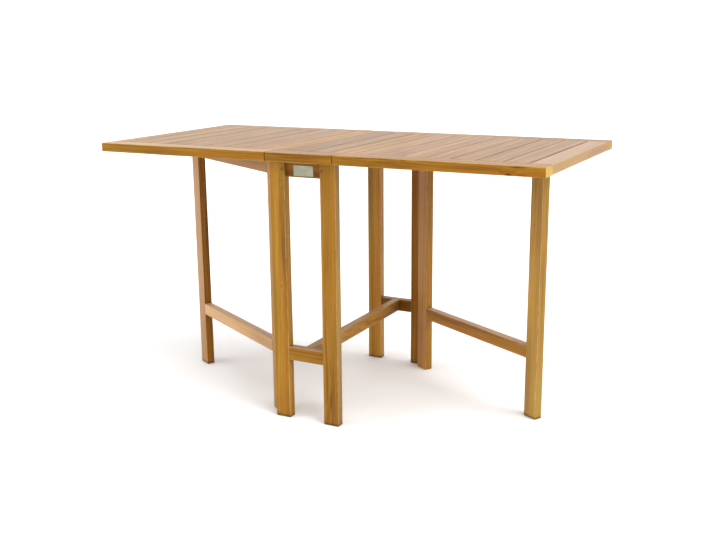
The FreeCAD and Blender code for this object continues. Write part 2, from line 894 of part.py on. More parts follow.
# Checks, then one file for each sub-part
for item in document.Objects:
    if "Invalid" in item.State or "Error" in item.State:
        raise RuntimeError(f"{item.Label} did not compute: {item.State}")
for body in pieces:
    if body.Shape.isNull() or not body.Shape.isValid():
        raise RuntimeError(f"{body.Label} has no valid shape")

os.makedirs("parts", exist_ok=True)
for body in pieces:
    body.Shape.exportStep(f"parts/{body.Label}.step")
box = Part.makeCompound([body.Shape for body in pieces]).BoundBox
print(f"{len(pieces)} sub-parts, {box.XLength:.1f} x {box.YLength:.1f} x {box.ZLength:.1f} mm")
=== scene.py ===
import bpy
import bmesh
import math
import random
from collections import namedtuple
from mathutils import Euler, Matrix, Vector


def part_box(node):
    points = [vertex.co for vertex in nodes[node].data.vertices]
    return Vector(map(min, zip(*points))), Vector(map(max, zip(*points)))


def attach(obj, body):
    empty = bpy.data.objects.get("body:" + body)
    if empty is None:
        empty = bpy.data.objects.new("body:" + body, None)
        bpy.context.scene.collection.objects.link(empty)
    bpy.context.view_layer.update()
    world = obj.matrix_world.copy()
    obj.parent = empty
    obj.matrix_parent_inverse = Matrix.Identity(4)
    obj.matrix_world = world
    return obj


# Folding garden table of oiled teak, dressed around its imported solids.
# Lengths are in metres, X runs along the open top, and the camera looks from the near right.

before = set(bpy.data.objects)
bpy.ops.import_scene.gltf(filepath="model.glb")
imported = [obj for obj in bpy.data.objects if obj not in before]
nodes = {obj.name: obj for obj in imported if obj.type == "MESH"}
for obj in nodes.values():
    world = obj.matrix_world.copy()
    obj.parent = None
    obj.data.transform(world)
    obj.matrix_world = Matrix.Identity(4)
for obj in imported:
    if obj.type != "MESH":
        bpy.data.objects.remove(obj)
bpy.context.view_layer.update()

MM = 0.001
QUARTER_TURN = math.radians(90)
GATE_OPEN = math.radians(61)

# Directions. The open gates have their own: their panels look outwards to the near left, and the
# end sides of their legs look to the near right.
RIGHTWARDS = (1, 0, 0)
LEFTWARDS = (-1, 0, 0)
FARWARDS = (0, 1, 0)
UPWARDS = (0, 0, 1)
OUTWARDS = (-math.cos(GATE_OPEN), -math.sin(GATE_OPEN), 0)
END_SIDE = (math.sin(GATE_OPEN), -math.cos(GATE_OPEN), 0)
TABLE_SIDES = (RIGHTWARDS, FARWARDS, UPWARDS)
GATE_SIDES = (OUTWARDS, END_SIDE, UPWARDS)


# Building materials from nodes

class Tree:
    """Short calls for building the nodes of a material or a world."""

    def __init__(self, owner):
        owner.use_nodes = True
        self.nodes = owner.node_tree.nodes
        self.links = owner.node_tree.links

    def add(self, kind, **settings):
        node = self.nodes.new("ShaderNode" + kind)
        for key, value in settings.items():
            setattr(node, key, value)
        return node

    def feed(self, socket, value):
        """Link an output to a socket, or set the socket to a value."""
        if isinstance(value, bpy.types.NodeSocket):
            self.links.new(value, socket)
        else:
            socket.default_value = value

    def math(self, operation, a, b=0.0):
        node = self.add("Math", operation=operation)
        self.feed(node.inputs[0], a)
        self.feed(node.inputs[1], b)
        return node.outputs[0]

    def vector(self, operation, a, b=(0, 0, 0)):
        node = self.add("VectorMath", operation=operation)
        self.feed(node.inputs[0], a)
        self.feed(node.inputs[1], b)
        return node.outputs["Value" if operation in ("LENGTH", "DOT_PRODUCT") else "Vector"]

    def parts(self, vector):
        """The X, Y and Z outputs of a vector."""
        node = self.add("SeparateXYZ")
        self.feed(node.inputs[0], vector)
        return node.outputs

    def combined(self, **parts):
        """A vector from its X, Y and Z, with 0 for those not given."""
        node = self.add("CombineXYZ")
        for axis, value in parts.items():
            self.feed(node.inputs[axis], value)
        return node.outputs[0]

    def noise(self, vector, scale, detail=2.0, roughness=0.5, output="Fac"):
        """Noise with a number of features in a metre along each axis."""
        node = self.add("TexNoise")
        self.feed(node.inputs["Vector"], self.vector("MULTIPLY", vector, scale))
        node.inputs["Scale"].default_value = 1.0
        node.inputs["Detail"].default_value = detail
        node.inputs["Roughness"].default_value = roughness
        return node.outputs[output]

    def ramp(self, value, stops):
        node = self.add("ValToRGB")
        elements = node.color_ramp.elements
        while len(elements) < len(stops):
            elements.new(0.5)
        for element, (place, colour) in zip(elements, stops):
            element.position = place
            element.color = tuple(colour) + (1.0,)
        self.feed(node.inputs[0], value)
        return node.outputs["Color"]

    def mix(self, factor, a, b, blend="MIX"):
        node = self.add("Mix", data_type="RGBA", blend_type=blend)
        self.feed(node.inputs["Factor"], factor)
        for socket, value in ((node.inputs[6], a), (node.inputs[7], b)):
            self.feed(socket, value + (1.0,) if isinstance(value, tuple) else value)
        return node.outputs[2]

    def span(self, value, low, high, to_low=0.0, to_high=1.0, smooth=False):
        """Turn values from low to high into values from to_low to to_high, and stop there."""
        node = self.add("MapRange", interpolation_type="SMOOTHSTEP" if smooth else "LINEAR")
        self.feed(node.inputs["Value"], value)
        node.inputs["From Min"].default_value = low
        node.inputs["From Max"].default_value = high
        node.inputs["To Min"].default_value = to_low
        node.inputs["To Max"].default_value = to_high
        return node.outputs["Result"]


class Material(Tree):
    """A material with its shader."""

    def __init__(self, name):
        self.material = bpy.data.materials.new(name)
        super().__init__(self.material)
        self.shader = self.nodes["Principled BSDF"]

    def bump(self, height, strength, distance):
        node = self.add("Bump")
        node.inputs["Strength"].default_value = strength
        node.inputs["Distance"].default_value = distance
        self.feed(node.inputs["Height"], height)
        self.feed(self.shader.inputs["Normal"], node.outputs["Normal"])


# Figure of the wood

# Turns about X, Y and Z that bring a board's length onto the texture's X axis
GRAIN_TURNS = {
    "x": (0, 0, 0),
    "y": (0, 0, -QUARTER_TURN),
    "z": (0, QUARTER_TURN, 0),
    "gate": (0, 0, QUARTER_TURN - GATE_OPEN),
}

# Linear colours
PALE = (0.37, 0.184, 0.017)
MIDDLE = (0.268, 0.120, 0.005)
DEEP = (0.130, 0.046, 0.0015)
PORE = (0.075, 0.024, 0.001)
END_GRAIN = (0.30, 0.155, 0.030)
# Sun-bleached wood, which also serves as the painted sheen on the tops
BLEACHED_AND_SHEEN = (0.48, 0.29, 0.16)
MAUVE = (0.25, 0.125, 0.065)
SALMON = (0.40, 0.175, 0.075)
ORANGE = (0.32, 0.112, 0.005)
OLIVE = (0.235, 0.122, 0.004)
STREAK_YELLOW = (0.46, 0.31, 0.125)
STREAK_PINK = (0.38, 0.205, 0.135)
WORN = (0.56, 0.37, 0.18)
FOOT_DARKENING = (0.055, 0.030, 0.010)

# Noise in the wood: features in a metre along the grain and across it, detail, roughness, and a
# move that keeps it apart from the others
Pattern = namedtuple("Pattern", "along across detail roughness moved", defaults=(2.0, 0.5, None))
DRIFT = Pattern(1.4, 7.0)
UNEVEN_GROWTH = Pattern(0.5, 28.0, 1.0)
STREAKS = Pattern(1.1, 85.0, 3.0, 0.55)
THREADS = Pattern(4.0, 250.0, 2.0, 0.6, (1.9, 0.4, 0.6))
FIBRES = Pattern(9.0, 620.0, 3.0, 0.6)
PATCHES = Pattern(2.2, 14.0, 1.0)
PORES = Pattern(95.0, 2100.0, 1.0)
HUES = Pattern(2.2, 45.0, 2.0, 0.5, (3.3, 0.7, 0.2))
SLAT_WARMTH = Pattern(0.9, 140.0, 2.0, 0.5, (4.1, 0.5, 0.3))
SLAT_BANDS = Pattern(0.8, 120.0, 3.0, 0.75, (7.7, 0.2, 0.9))

# Noise that isn't stretched along the grain: features in a metre along X, Y and Z
END_SPECKLE = (1500.0, 1500.0, 1500.0)
RUBBING = (30.0, 30.0, 30.0)
SLAT_GRIME_AND_SHADE = (22.0, 40.0, 0.0)
FOOT_DARKENING_NOISE = (130.0, 130.0, 60.0)

# How far the grain wanders across the board, in metres
GRAIN_WANDER = (0.0, 0.02, 0.02)

# How far apart boards, and the slats of a row, lie in the wood's patterns
SEED_STEP = 3.17
SEED_ROOM = 5.0
SLAT_SEED_STEP = 7.31
SLAT_OFFSETS = (3.0, 0.06, 0.05)

# Distances from a knot, and from a streak of painted shade, in its own sizes, where the grain bends and where
# it is dark
MARK_BEND = (3.2, 0.6)
MARK_CORE = (1.0, 0.2)
MARK_PUSH = 0.8

# Growth rings: how dark each place between one ring and the next is, and how uneven the rings are
RING_SHADES = ((0.0, 0.35), (0.1, 0.0), (0.55, 0.22), (0.88, 0.85), (1.0, 0.55))
RING_WANDER = 2.6

# Spans: a low and a high value, and where there are four, what these two become.
# Depths add up to a place on the ramp from the pale wood to the deep.
STREAK_DEPTH = (0.34, 0.66, -0.08, 0.48)
THREAD_DEPTH = (0.36, 0.64, -0.14, 0.20)
FIBRE_DEPTH = (0.30, 0.72, -0.04, 0.22)
PATCH_DEPTH = (0.30, 0.70, -0.10, 0.24)
OWN_WOOD_DEPTH = (0.0, 1.0, -0.20, 0.22)
END_SPECKLE_DEPTH = (0.4, 0.65, 0.0, 0.25)
LATE_WOOD_DEPTH = 0.24
END_LATE_WOOD_DEPTH = 0.25
MIDDLE_DEPTH = 0.45

# Shares of a colour that is laid over the wood
ORANGE_SHARE = (0.53, 0.70, 0.0, 0.65)
OLIVE_SHARE = (0.47, 0.30, 0.0, 0.65)
MAUVE_SHARE = (0.2, 1.0, 0.0, 0.45)
SALMON_SHARE = (0.3, 1.0, 0.0, 0.4)
SUN_AND_LIGHT_SHARE = (0.30, 0.70, 1.25, 0.65)
RUBBED_SHARE = (0.40, 0.60, 0.1, 0.55)
YELLOW_SHARE = (0.52, 0.66, 0.0, 0.55)
PINK_SHARE = (0.48, 0.34, 0.0, 0.55)
GRIME_AND_SHADE_SHARE = (0.38, 0.62, 0.15, 0.75)
FOOT_DARKENING_SHARE = (0.35, 0.60, 0.45, 0.95)
PORE_SHARE = 0.4

# Light that is left in the slats' dark bands
BAND_LIGHT = (0.36, 0.64, 1.08, 0.53)

# Noise that counts as a pore, and how squarely a surface looks one way to count as an end, as a
# pale side, or as an arris, which looks squarely nowhere
PORE_SPAN = (0.62, 0.72)
END_SPAN = (0.75, 0.95)
SIDE_SPAN = (0.3, 0.95)
ARRIS_SPAN = (0.98, 0.85)

# Distance from the middle of the table to the ends of its slats, and how the grime and painted shade there
# fade
SLAT_END = 265 * MM
GRIME_AND_SHADE_SPAN = (SLAT_END - 12 * MM, SLAT_END - 2 * MM)

# Height at which the darkening of a foot ends, and at which it is full
FOOT_DARKENING_SPAN = (12 * MM, 1 * MM)

# Finish of the oiled wood
FIBRE_ROUGHNESS = (0.3, 0.7, 0.32, 0.44)
END_ROUGHNESS = 0.2
OILED_IOR = 1.24
PORE_RELIEF = 1.2
LATE_WOOD_RELIEF = 0.25
GRAIN_BUMP_STRENGTH = 0.5
GRAIN_BUMP_HEIGHT = 0.12 * MM


class Teak(Material):
    """Oiled teak for one board. Each method adds to its colour."""

    def __init__(self, name, grain, centre, seed, light, bleach, tint, pith):
        super().__init__(name)
        self.seed = seed
        self.light = light
        self.bleach = bleach
        self.tint = tint
        self.turn = Euler(GRAIN_TURNS[grain]).to_matrix()
        self.shift = Vector((seed * SEED_STEP % SEED_ROOM, *pith)) - self.turn @ centre
        coordinates = self.add("TexCoord")
        self.place = coordinates.outputs["Object"]
        self.normal = coordinates.outputs["Normal"]
        mapping = self.add("Mapping", vector_type="POINT")
        mapping.inputs["Rotation"].default_value = GRAIN_TURNS[grain]
        mapping.inputs["Location"].default_value = self.shift
        self.feed(mapping.inputs["Vector"], self.place)
        self.point = mapping.outputs["Vector"]
        self.own_wood = None
        self.knot_and_shade_depth = None

    def toned(self, colour):
        """A colour as bleached, light and tinted as this board. On some boards the lightness and tint hold
        painted light and shade.
        """
        mixed = [own * (1 - self.bleach) + pale * self.bleach for own, pale in zip(colour, BLEACHED_AND_SHEEN)]
        return tuple(channel * self.light * share for channel, share in zip(mixed, self.tint))

    def pattern(self, vector, figure, output="Fac"):
        """One of the wood's patterns."""
        if figure.moved:
            vector = self.vector("ADD", vector, figure.moved)
        scale = (figure.along, figure.across, figure.across)
        return self.noise(vector, scale, figure.detail, figure.roughness, output)

    def towards(self, side):
        """How squarely the surface looks one way, from -1 to 1."""
        return self.vector("DOT_PRODUCT", self.normal, side)

    def cover(self, share, colour):
        """Lay a share of another colour over the board's own."""
        self.colour = self.mix(share, self.colour, colour)

    def part_slats(self, first_edge, pitch):
        """Give each slat of a row its own wood."""
        along_row = self.math("SUBTRACT", self.parts(self.place)["X"], first_edge)
        number = self.math("FLOOR", self.math("DIVIDE", along_row, pitch))
        self.own_wood = self.add("TexWhiteNoise", noise_dimensions="1D")
        self.feed(self.own_wood.inputs["W"], self.math("ADD", number, self.seed * SLAT_SEED_STEP))
        offset = self.vector("MULTIPLY", self.own_wood.outputs["Color"], SLAT_OFFSETS)
        sideways = self.combined(Y=self.math("MULTIPLY", number, pitch))
        self.point = self.vector("ADD", self.vector("ADD", self.point, offset), sideways)

    def bend_grain(self, knots_and_shade):
        """Let the grain wander slowly along the board, and bend it around the knots and the streaks of
        painted shade.
        """
        drift = self.vector("SUBTRACT", self.pattern(self.point, DRIFT, "Color"), (0.5, 0.5, 0.5))
        self.bent = self.vector("ADD", self.point, self.vector("MULTIPLY", drift, GRAIN_WANDER))
        for place, size, length, strength in knots_and_shade:
            away = self.vector("SUBTRACT", self.point, tuple(self.turn @ Vector(place) + self.shift))
            away = self.vector("MULTIPLY", away, (1 / length, 1 / size, 1 / size))
            away = self.vector("LENGTH", away)
            push = self.span(away, *MARK_BEND, 0.0, size * MARK_PUSH, smooth=True)
            self.bent = self.vector("ADD", self.bent, self.combined(Y=push, Z=push))
            core = self.span(away, *MARK_CORE, 0.0, strength, smooth=True)
            if self.knot_and_shade_depth is None:
                self.knot_and_shade_depth = core
            else:
                self.knot_and_shade_depth = self.math("MAXIMUM", self.knot_and_shade_depth, core)

    def grow(self, ring):
        """Growth rings around a pith beside the board, fibres, cloudy patches and pores."""
        radius = self.vector("LENGTH", self.vector("MULTIPLY", self.bent, (0.0, 1.0, 1.0)))
        wander = self.math("MULTIPLY", self.pattern(self.bent, UNEVEN_GROWTH), RING_WANDER)
        growth = self.math("FRACT", self.math("ADD", self.math("DIVIDE", radius, ring), wander))
        self.late_wood = self.ramp(growth, [(place, (shade,) * 3) for place, shade in RING_SHADES])
        self.fibres = self.pattern(self.bent, FIBRES)
        self.patches = self.pattern(self.point, PATCHES)
        self.pores = self.span(self.pattern(self.bent, PORES), *PORE_SPAN)

    def colour_in(self):
        """The wood's own colour, from the rings and patterns."""
        depth = self.math("MULTIPLY", self.late_wood, LATE_WOOD_DEPTH)
        layers = [
            (self.pattern(self.bent, STREAKS), STREAK_DEPTH),
            (self.pattern(self.bent, THREADS), THREAD_DEPTH),
            (self.fibres, FIBRE_DEPTH),
            (self.patches, PATCH_DEPTH),
        ]
        if self.own_wood is not None:
            layers.append((self.own_wood.outputs["Value"], OWN_WOOD_DEPTH))
        for value, span in layers:
            depth = self.math("ADD", depth, self.span(value, *span))
        stops = [(0.0, self.toned(PALE)), (MIDDLE_DEPTH, self.toned(MIDDLE)), (1.0, self.toned(DEEP))]
        self.colour = self.ramp(depth, stops)
        hue = self.pattern(self.bent, HUES)
        self.cover(self.span(hue, *ORANGE_SHARE), self.toned(ORANGE))
        self.cover(self.span(hue, *OLIVE_SHARE), self.toned(OLIVE))
        if self.own_wood is not None:
            chance = self.parts(self.own_wood.outputs["Color"])
            self.cover(self.span(chance["Y"], *MAUVE_SHARE), MAUVE)
            self.cover(self.span(chance["Z"], *SALMON_SHARE), SALMON)
        self.cover(self.math("MULTIPLY", self.pores, PORE_SHARE), self.toned(PORE))

    def show_end_grain(self):
        """End grain shows the rings and pores cut across."""
        lengthwise = tuple(self.turn.transposed() @ Vector(RIGHTWARDS))
        self.end = self.span(self.math("ABSOLUTE", self.towards(lengthwise)), *END_SPAN)
        speckle = self.span(self.noise(self.point, END_SPECKLE, 1.0), *END_SPECKLE_DEPTH)
        depth = self.math("ADD", self.math("MULTIPLY", self.late_wood, END_LATE_WOOD_DEPTH), speckle)
        self.cover(self.end, self.ramp(depth, [(0.0, self.toned(END_GRAIN)), (1.0, self.toned(DEEP))]))

    def fade(self, pale_and_lit_sides):
        """Some sides are paler, here more and there less: painted light and painted sheen, and on the tops
        some sun-bleaching too.
        """
        uneven_sun_and_light = self.span(self.patches, *SUN_AND_LIGHT_SHARE)
        for side, share, paleness in pale_and_lit_sides:
            faded_and_lit = self.span(self.towards(side), *SIDE_SPAN, 0.0, share)
            self.cover(self.math("MULTIPLY", faded_and_lit, uneven_sun_and_light), paleness)

    def wear_arrises(self, sides):
        """Arrises are worn pale. Their rounding looks squarely to none of the board's own sides."""
        squareness = 0.0
        for side in sides:
            squareness = self.math("MAXIMUM", self.math("ABSOLUTE", self.towards(side)), squareness)
        rubbed = self.span(self.noise(self.place, RUBBING, 3.0, 0.6), *RUBBED_SHARE)
        self.cover(self.math("MULTIPLY", self.span(squareness, *ARRIS_SPAN), rubbed), self.toned(WORN))

    def darken_knots_and_shade(self):
        """Knots and streaks of painted shade are dark, on pale sides too."""
        if self.knot_and_shade_depth is not None:
            self.cover(self.knot_and_shade_depth, self.toned(PORE))

    def streak_slats(self):
        """Slats have yellow, pink and dark bands, and grime and painted shade where they meet the long rails.
        """
        warmth = self.pattern(self.bent, SLAT_WARMTH)
        self.cover(self.span(warmth, *YELLOW_SHARE), STREAK_YELLOW)
        self.cover(self.span(warmth, *PINK_SHARE), STREAK_PINK)
        bands = self.span(self.pattern(self.bent, SLAT_BANDS), *BAND_LIGHT)
        self.colour = self.mix(1.0, self.colour, bands, blend="MULTIPLY")
        # Grime and painted shade along the ends of the slats
        grime_and_shade = self.span(self.math("ABSOLUTE", self.parts(self.place)["Y"]), *GRIME_AND_SHADE_SPAN, smooth=True)
        broken = self.span(self.noise(self.place, SLAT_GRIME_AND_SHADE), *GRIME_AND_SHADE_SHARE)
        self.cover(self.math("MULTIPLY", grime_and_shade, broken), self.toned(DEEP))

    def darken_foot(self):
        """Darker towards the bottom of a leg, where it stands on the floor."""
        darkening = self.span(self.parts(self.place)["Z"], *FOOT_DARKENING_SPAN, smooth=True)
        broken = self.span(self.noise(self.place, FOOT_DARKENING_NOISE), *FOOT_DARKENING_SHARE)
        self.cover(self.math("MULTIPLY", darkening, broken), FOOT_DARKENING)

    def finished(self):
        """The material, with the sheen of the oil and the relief of fibres, pores and rings."""
        self.feed(self.shader.inputs["Base Color"], self.colour)
        sheen = self.span(self.fibres, *FIBRE_ROUGHNESS)
        roughness = self.math("ADD", sheen, self.math("MULTIPLY", self.end, END_ROUGHNESS))
        self.feed(self.shader.inputs["Roughness"], roughness)
        self.shader.inputs["IOR"].default_value = OILED_IOR
        height = self.math("SUBTRACT", self.fibres, self.math("MULTIPLY", self.pores, PORE_RELIEF))
        height = self.math("SUBTRACT", height, self.math("MULTIPLY", self.late_wood, LATE_WOOD_RELIEF))
        self.bump(height, GRAIN_BUMP_STRENGTH, GRAIN_BUMP_HEIGHT)
        return self.material


def teak(
    name,
    grain,
    centre,
    seed,
    light,
    bleach,
    tint,
    pith,
    ring,
    slats=None,
    knots_and_shade=(),
    pale_and_lit_sides=(),
    stands=False,
    sides=TABLE_SIDES,
):
    """The teak of one board, or of a row of slats."""
    wood = Teak(name, grain, centre, seed, light, bleach, tint, pith)
    if slats:
        wood.part_slats(*slats)
    wood.bend_grain(knots_and_shade)
    wood.grow(ring)
    wood.colour_in()
    wood.show_end_grain()
    wood.fade(pale_and_lit_sides)
    wood.wear_arrises(sides)
    wood.darken_knots_and_shade()
    if slats:
        wood.streak_slats()
    if stands:
        wood.darken_foot()
    return wood.finished()


# Metals: linear colours where they are bright and dull, roughness, and the lines of their brushing
# in a metre along X, Y and Z
BRASS_BRIGHT = (0.62, 0.40, 0.13)
BRASS_DULL = (0.40, 0.23, 0.07)
BRASS_ROUGHNESS = 0.34
BRASS_BRUSHING = (400.0, 400.0, 400.0)
PLATE_BRIGHT = (0.322, 0.318, 0.240)
PLATE_DULL = (0.214, 0.210, 0.152)
PLATE_ROUGHNESS = 0.36
PLATE_BRUSHING = (30.0, 900.0, 2600.0)

# Cloudy wear of both metals, as spans like those of the wood
CLOUDS = (60.0, 60.0, 60.0)
CLOUD_SPAN = (0.3, 0.7)
CLOUD_WEAR = (0.3, 0.7, 0.0, 0.5)
LINE_WEAR = (0.35, 0.65, 0.0, 0.35)
SMOOTHER_BY = 0.06
ROUGHER_BY = 0.10
BRUSHING_BUMP_STRENGTH = 0.25
BRUSHING_BUMP_HEIGHT = 0.05 * MM


def metal(name, bright, dull, roughness, brushing):
    """Worn metal, duller and rougher in places, with fine brushing."""
    tree = Material(name)
    point = tree.add("TexCoord").outputs["Object"]
    lines = tree.noise(point, brushing, 3.0, 0.65)
    cloud = tree.noise(point, CLOUDS, 3.0, 0.6)
    wear = tree.math("ADD", tree.span(lines, *LINE_WEAR), tree.span(cloud, *CLOUD_WEAR))
    tree.feed(tree.shader.inputs["Base Color"], tree.ramp(wear, [(0.0, bright), (1.0, dull)]))
    uneven_roughness = tree.span(cloud, *CLOUD_SPAN, roughness - SMOOTHER_BY, roughness + ROUGHER_BY)
    tree.feed(tree.shader.inputs["Roughness"], uneven_roughness)
    tree.shader.inputs["Metallic"].default_value = 1.0
    tree.bump(lines, BRUSHING_BUMP_STRENGTH, BRUSHING_BUMP_HEIGHT)
    return tree.material


# Wood, board by board

# The middle of the gap before the first slat of each row, and the distance from slat to slat
LEAF_SLAT_PITCH = 67 * MM
CENTRE_SLAT_PITCH = 66.5 * MM
SLAT_ROWS = {
    "left_leaf_slats": (-137.5 * MM, LEAF_SLAT_PITCH),
    "centre_slats": (-66.5 * MM, CENTRE_SLAT_PITCH),
    "right_leaf_slats": (137.5 * MM, LEAF_SLAT_PITCH),
}

# How light and how bleached a board is, where the photograph shows it. On some boards the lightness also
# holds painted shade, darker on the top rail, the far low rail, the far right leg and the left gate's outer
# leg under the table, and painted light, lighter on the far left leg and the right gate's outer leg where the
# tabletop shades them.
TONES_AND_PAINTED_LIGHT = {
    "near_left_leg": (1.01, 0.02),
    "near_right_leg": (0.94, 0.02),
    "left_leaf_near_rail": (0.88, 0.0),
    "centre_near_rail": (0.98, 0.0),
    "right_leaf_near_rail": (0.97, 0.0),
    "far_right_leg": (0.78, 0.0),
    "far_left_leg": (1.20, 0.06),
    "near_top_rail": (0.70, 0.0),
    "far_low_rail": (0.60, 0.0),
    "near_low_rail": (0.88, 0.0),
    "stretcher": (1.08, 0.04),
    "left_gate_outer_leg": (0.80, 0.0),
    "left_gate_low_rail": (1.05, 0.0),
    "left_gate_top_rail": (0.9, 0.0),
    "left_gate_stile": (0.95, 0.0),
    "right_gate_low_rail": (1.03, 0.04),
    "right_gate_stile": (1.06, 0.06),
    "right_gate_outer_leg": (1.20, 0.06),
    "left_leaf_slats": (0.76, 0.12),
    "centre_slats": (0.67, 0.08),
    "right_leaf_slats": (0.94, 0.12),
    "left_leaf_far_rail": (0.68, 0.08),
    "centre_far_rail": (0.66, 0.06),
    "right_leaf_far_rail": (0.70, 0.10),
    "left_leaf_end_rail": (0.74, 0.12),
    "left_leaf_joint_rail": (0.84, 0.10),
    "centre_left_rail": (0.86, 0.04),
    "centre_right_rail": (0.80, 0.10),
    "right_leaf_joint_rail": (0.76, 0.12),
    "right_leaf_end_rail": (0.92, 0.10),
}
# The same for the boards that it doesn't show well, drawn from these ranges
LIGHT_RANGE = (0.92, 1.04)
BLEACH_RANGE = (0.0, 0.1)

# Shares of red, green and blue where a board's hue differs. On the top rail, the far low rail, the far right
# leg and the left gate's outer leg they also give painted shade its hue.
PLAIN = (1.0, 1.0, 1.0)
TINTS_AND_SHADE_HUES = {
    "far_right_leg": (1.0, 0.85, 0.7),
    "near_top_rail": (1.0, 0.86, 0.4),
    "far_low_rail": (1.0, 0.8, 0.75),
    "right_gate_low_rail": (1.06, 1.02, 1.6),
    "right_leaf_near_rail": (0.98, 0.95, 0.5),
    "centre_near_rail": (1.0, 0.97, 0.7),
    "left_leaf_near_rail": (1.0, 0.98, 0.7),
    "near_right_leg": (1.0, 0.97, 0.9),
    "left_gate_outer_leg": (1.0, 0.85, 0.7),
}

# Place, half width, half length and strength of the knots and dark streaks; some streaks are painted shade
KNOTS_AND_PAINTED_SHADE = {
    "near_left_leg": [
        ((-0.0656, -0.300, 0.673), 4 * MM, 9 * MM, 0.3),
        ((-0.0706, -0.300, 0.382), 3.5 * MM, 6 * MM, 0.6),
    ],
    "near_right_leg": [
        ((0.0740, -0.300, 0.480), 1.6 * MM, 120 * MM, 0.3),
        ((0.0780, -0.300, 0.075), 6 * MM, 50 * MM, 0.65),
        ((0.0660, -0.300, 0.110), 3 * MM, 70 * MM, 0.6),
    ],
    "right_leaf_near_rail": [
        ((0.573, -0.320, 0.7285), 6 * MM, 12 * MM, 0.9),
        ((0.605, -0.320, 0.729), 2 * MM, 22 * MM, 0.5),
        ((0.595, -0.320, 0.746), 2.8 * MM, 26 * MM, 0.85),
        ((0.500, -0.320, 0.738), 9 * MM, 110 * MM, 0.30),
        ((0.180, -0.320, 0.747), 1.8 * MM, 16 * MM, 0.7),
        ((0.302, -0.320, 0.746), 1.8 * MM, 10 * MM, 0.6),
    ],
    "right_gate_outer_leg": [
        ((0.540, 0.002, 0.549), 4 * MM, 9 * MM, 0.4),
        ((0.5367, 0.004, 0.309), 4 * MM, 9 * MM, 0.4),
        ((0.5374, 0.0035, 0.040), 5 * MM, 9 * MM, 0.5),
        ((0.5290, 0.0080, 0.600), 6 * MM, 200 * MM, 0.55),
        ((0.5420, 0.0010, 0.675), 12 * MM, 80 * MM, 0.35),
        ((0.5380, 0.0030, 0.130), 20 * MM, 260 * MM, 0.35),
        ((0.5723, -0.0017, 0.330), 6 * MM, 290 * MM, 0.35),
    ],
    "stretcher": [
        ((0.0125, 0.250, 0.186), 30 * MM, 130 * MM, 0.4),
    ],
    "left_gate_low_rail": [
        ((-0.165, -0.235, 0.188), 34 * MM, 150 * MM, 0.28),
    ],
    # On the left gate's outer leg the long dark streaks are painted shade, where the leg stands under the
    # table.
    "left_gate_outer_leg": [
        ((-0.5275, -0.0125, 0.664), 6 * MM, 22 * MM, 0.95),
        ((-0.5270, -0.0115, 0.500), 9 * MM, 330 * MM, 0.5),
        ((-0.5340, -0.0230, 0.600), 5 * MM, 120 * MM, 0.3),
    ],
}

# Pale and lit sides: which way the side looks, its share of paleness, and the pale colour. The tops of all
# boards are paler, partly sun-bleached and partly a painted sheen, the edges of the slats, which face each
# other in the slots, are painted light, and most sides below carry painted light, as lit sides and as painted
# sheen.
SUNNY_AND_SHEENED_TOP = (UPWARDS, 0.34, BLEACHED_AND_SHEEN)
# Painted light on the slats' edges in the slots, and on the end rail's side that faces them.
SLOT_PAINTED_LIGHT = (0.50, 0.30, 0.16)
# Pinkish painted sheen on the outward faces of the left gate.
PINK_SHEEN = (0.46, 0.265, 0.125)
LIT_SLOT_SIDES = [
    (RIGHTWARDS, 0.4, SLOT_PAINTED_LIGHT),
    (LEFTWARDS, 0.4, SLOT_PAINTED_LIGHT),
]
PALE_AND_LIT_SIDES = {
    "left_gate_outer_leg": [(OUTWARDS, 0.55, PINK_SHEEN)],
    # Painted sheen on the left gate's low rail outwards, and painted light on its top, which lies in shade
    # under the table.
    "left_gate_low_rail": [(OUTWARDS, 0.7, (0.60, 0.37, 0.19)), (UPWARDS, 0.7, (0.66, 0.42, 0.25))],
    # Painted light on the right side of the near right leg.
    "near_right_leg": [(RIGHTWARDS, 0.28, (0.36, 0.28, 0.10))],
    "near_low_rail": [(UPWARDS, 0.6, (0.22, 0.115, 0.02))],
    "left_gate_top_rail": [(OUTWARDS, 0.25, PINK_SHEEN)],
    "left_gate_stile": [(OUTWARDS, 0.3, PINK_SHEEN)],
    "left_leaf_near_rail": [(UPWARDS, 0.22, (0.62, 0.40, 0.22))],
    "right_leaf_near_rail": [(RIGHTWARDS, 0.8, (0.50, 0.31, 0.07))],
    "right_leaf_far_rail": [(RIGHTWARDS, 0.8, (0.48, 0.27, 0.06))],
    # Painted sheen on the right end rail's top, and painted light on its outer side.
    "right_leaf_end_rail": [
        (UPWARDS, 0.4, (0.43, 0.30, 0.23)),
        (RIGHTWARDS, 0.5, (0.35, 0.19, 0.045)),
        (LEFTWARDS, 0.4, SLOT_PAINTED_LIGHT),
    ],
    "right_gate_low_rail": [(UPWARDS, 0.6, (0.50, 0.31, 0.20))],
    "stretcher": [(UPWARDS, 0.5, (0.42, 0.23, 0.10))],
    "right_gate_stile": [(OUTWARDS, 0.45, (0.43, 0.21, 0.09))],
    # Painted light on the end side of the right gate's outer leg, which faces the light.
    "right_gate_outer_leg": [
        (OUTWARDS, 0.38, (0.46, 0.31, 0.085)),
        (END_SIDE, 0.6, (0.28, 0.185, 0.040)),
    ],
}

# Distances of the pith from the middle of a board, sideways and in depth, and widths of its rings
PITH_SIDEWAYS = (0.02, 0.09)
PITH_IN_DEPTH = (0.03, 0.12)
RING_WIDTHS_MM = (3.4, 5.0)


def grain_of(name):
    """Which way the wood of a board runs."""
    if name.endswith(("_leg", "_stile")):
        return "z"
    if "_gate_" in name:
        return "gate"
    if name.endswith(("near_rail", "far_rail", "top_rail", "low_rail", "batten", "bearer", "stop_block")):
        return "x"
    return "y"


def middle(name):
    low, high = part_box(name)
    return (Vector(low) + Vector(high)) / 2


